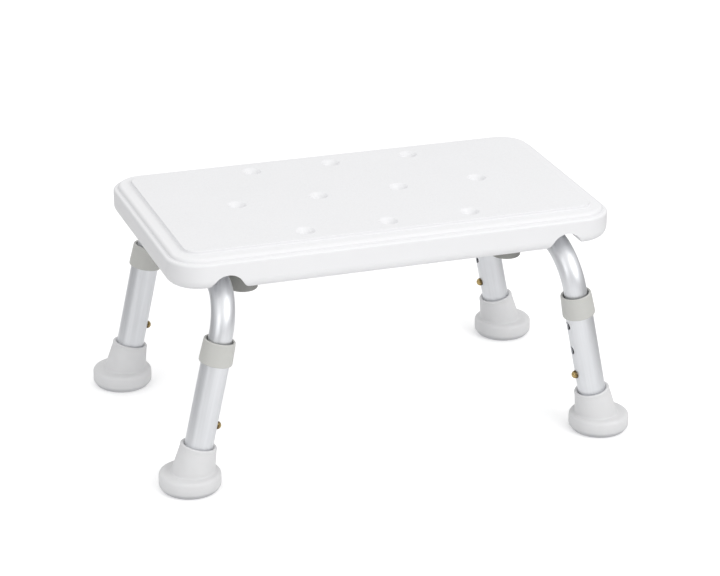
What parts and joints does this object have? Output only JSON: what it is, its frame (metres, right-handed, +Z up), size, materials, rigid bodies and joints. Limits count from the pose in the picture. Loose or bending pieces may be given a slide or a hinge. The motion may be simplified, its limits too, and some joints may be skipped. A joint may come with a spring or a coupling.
{
  "type": "shower stool",
  "caption": "Low backless shower stool: moulded seat with drain wells on bent tube frames, and splayed telescopic legs locked by snap buttons.",
  "frame": {"origin": "on the floor under the middle of the seat, centre of the bottom of the bounding box", "axes": "+X along the seat's length, -Y towards the front edge, +Z up"},
  "size_m": [0.4492, 0.2906, 0.215],
  "materials": {
    "seat_plastic": "satin, with a fine non-slip grain on the raised panel",
    "tube_aluminium": "satin anodised",
    "collar_plastic": "smooth satin",
    "bracket_plastic": "moulded satin",
    "foot_rubber": "matt",
    "button_brass": "polished",
    "spring_steel": "rolled strip",
    "zinc_steel": "zinc plated"
  },
  "bodies": {
    "stool_frame": {"seat": "seat_plastic", "frame_tube_left": "tube_aluminium", "frame_tube_right": "tube_aluminium", "saddle_bracket_front_left": "bracket_plastic", "saddle_bracket_front_right": "bracket_plastic", "saddle_bracket_back_left": "bracket_plastic", "saddle_bracket_back_right": "bracket_plastic", "bracket_screws": "zinc_steel", "snap_spring_front_left": "spring_steel", "snap_spring_front_right": "spring_steel", "snap_spring_back_left": "spring_steel", "snap_spring_back_right": "spring_steel"},
    "leg_front_left": {"outer_tube_front_left": "tube_aluminium", "leg_collar_front_left": "collar_plastic", "foot_tip_front_left": "foot_rubber", "foot_washer_front_left": "zinc_steel"},
    "button_front_left": {"snap_button_front_left": "button_brass"},
    "leg_front_right": {"outer_tube_front_right": "tube_aluminium", "leg_collar_front_right": "collar_plastic", "foot_tip_front_right": "foot_rubber", "foot_washer_front_right": "zinc_steel"},
    "button_front_right": {"snap_button_front_right": "button_brass"},
    "leg_back_left": {"outer_tube_back_left": "tube_aluminium", "leg_collar_back_left": "collar_plastic", "foot_tip_back_left": "foot_rubber", "foot_washer_back_left": "zinc_steel"},
    "button_back_left": {"snap_button_back_left": "button_brass"},
    "leg_back_right": {"outer_tube_back_right": "tube_aluminium", "leg_collar_back_right": "collar_plastic", "foot_tip_back_right": "foot_rubber", "foot_washer_back_right": "zinc_steel"},
    "button_back_right": {"snap_button_back_right": "button_brass"}
  },
  "joints": [
    {"name": "leg_slide_front_left", "type": "slide", "parent": "stool_frame", "child": "leg_front_left", "axis": [-0.2045, 0, -0.9789], "range_m": [0, 0.0508], "deforming": ["snap_button_front_left"]},
    {"name": "button_press_front_left", "type": "slide", "parent": "stool_frame", "child": "button_front_left", "axis": [-0.9789, 0, 0.2045], "range_m": [0, 0.0055], "stiffness_N_per_m": 3000, "springref_m": -0.003, "deforming": ["snap_spring_front_left"]},
    {"name": "leg_slide_front_right", "type": "slide", "parent": "stool_frame", "child": "leg_front_right", "axis": [0.2045, 0, -0.9789], "range_m": [0, 0.0508], "deforming": ["snap_button_front_right"]},
    {"name": "button_press_front_right", "type": "slide", "parent": "stool_frame", "child": "button_front_right", "axis": [0.9789, 0, 0.2045], "range_m": [0, 0.0055], "stiffness_N_per_m": 3000, "springref_m": -0.003, "deforming": ["snap_spring_front_right"]},
    {"name": "leg_slide_back_left", "type": "slide", "parent": "stool_frame", "child": "leg_back_left", "axis": [-0.2045, 0, -0.9789], "range_m": [0, 0.0508], "deforming": ["snap_button_back_left"]},
    {"name": "button_press_back_left", "type": "slide", "parent": "stool_frame", "child": "button_back_left", "axis": [-0.9789, 0, 0.2045], "range_m": [0, 0.0055], "stiffness_N_per_m": 3000, "springref_m": -0.003, "deforming": ["snap_spring_back_left"]},
    {"name": "leg_slide_back_right", "type": "slide", "parent": "stool_frame", "child": "leg_back_right", "axis": [0.2045, 0, -0.9789], "range_m": [0, 0.0508], "deforming": ["snap_button_back_right"]},
    {"name": "button_press_back_right", "type": "slide", "parent": "stool_frame", "child": "button_back_right", "axis": [0.9789, 0, 0.2045], "range_m": [0, 0.0055], "stiffness_N_per_m": 3000, "springref_m": -0.003, "deforming": ["snap_spring_back_right"]}
  ]
}
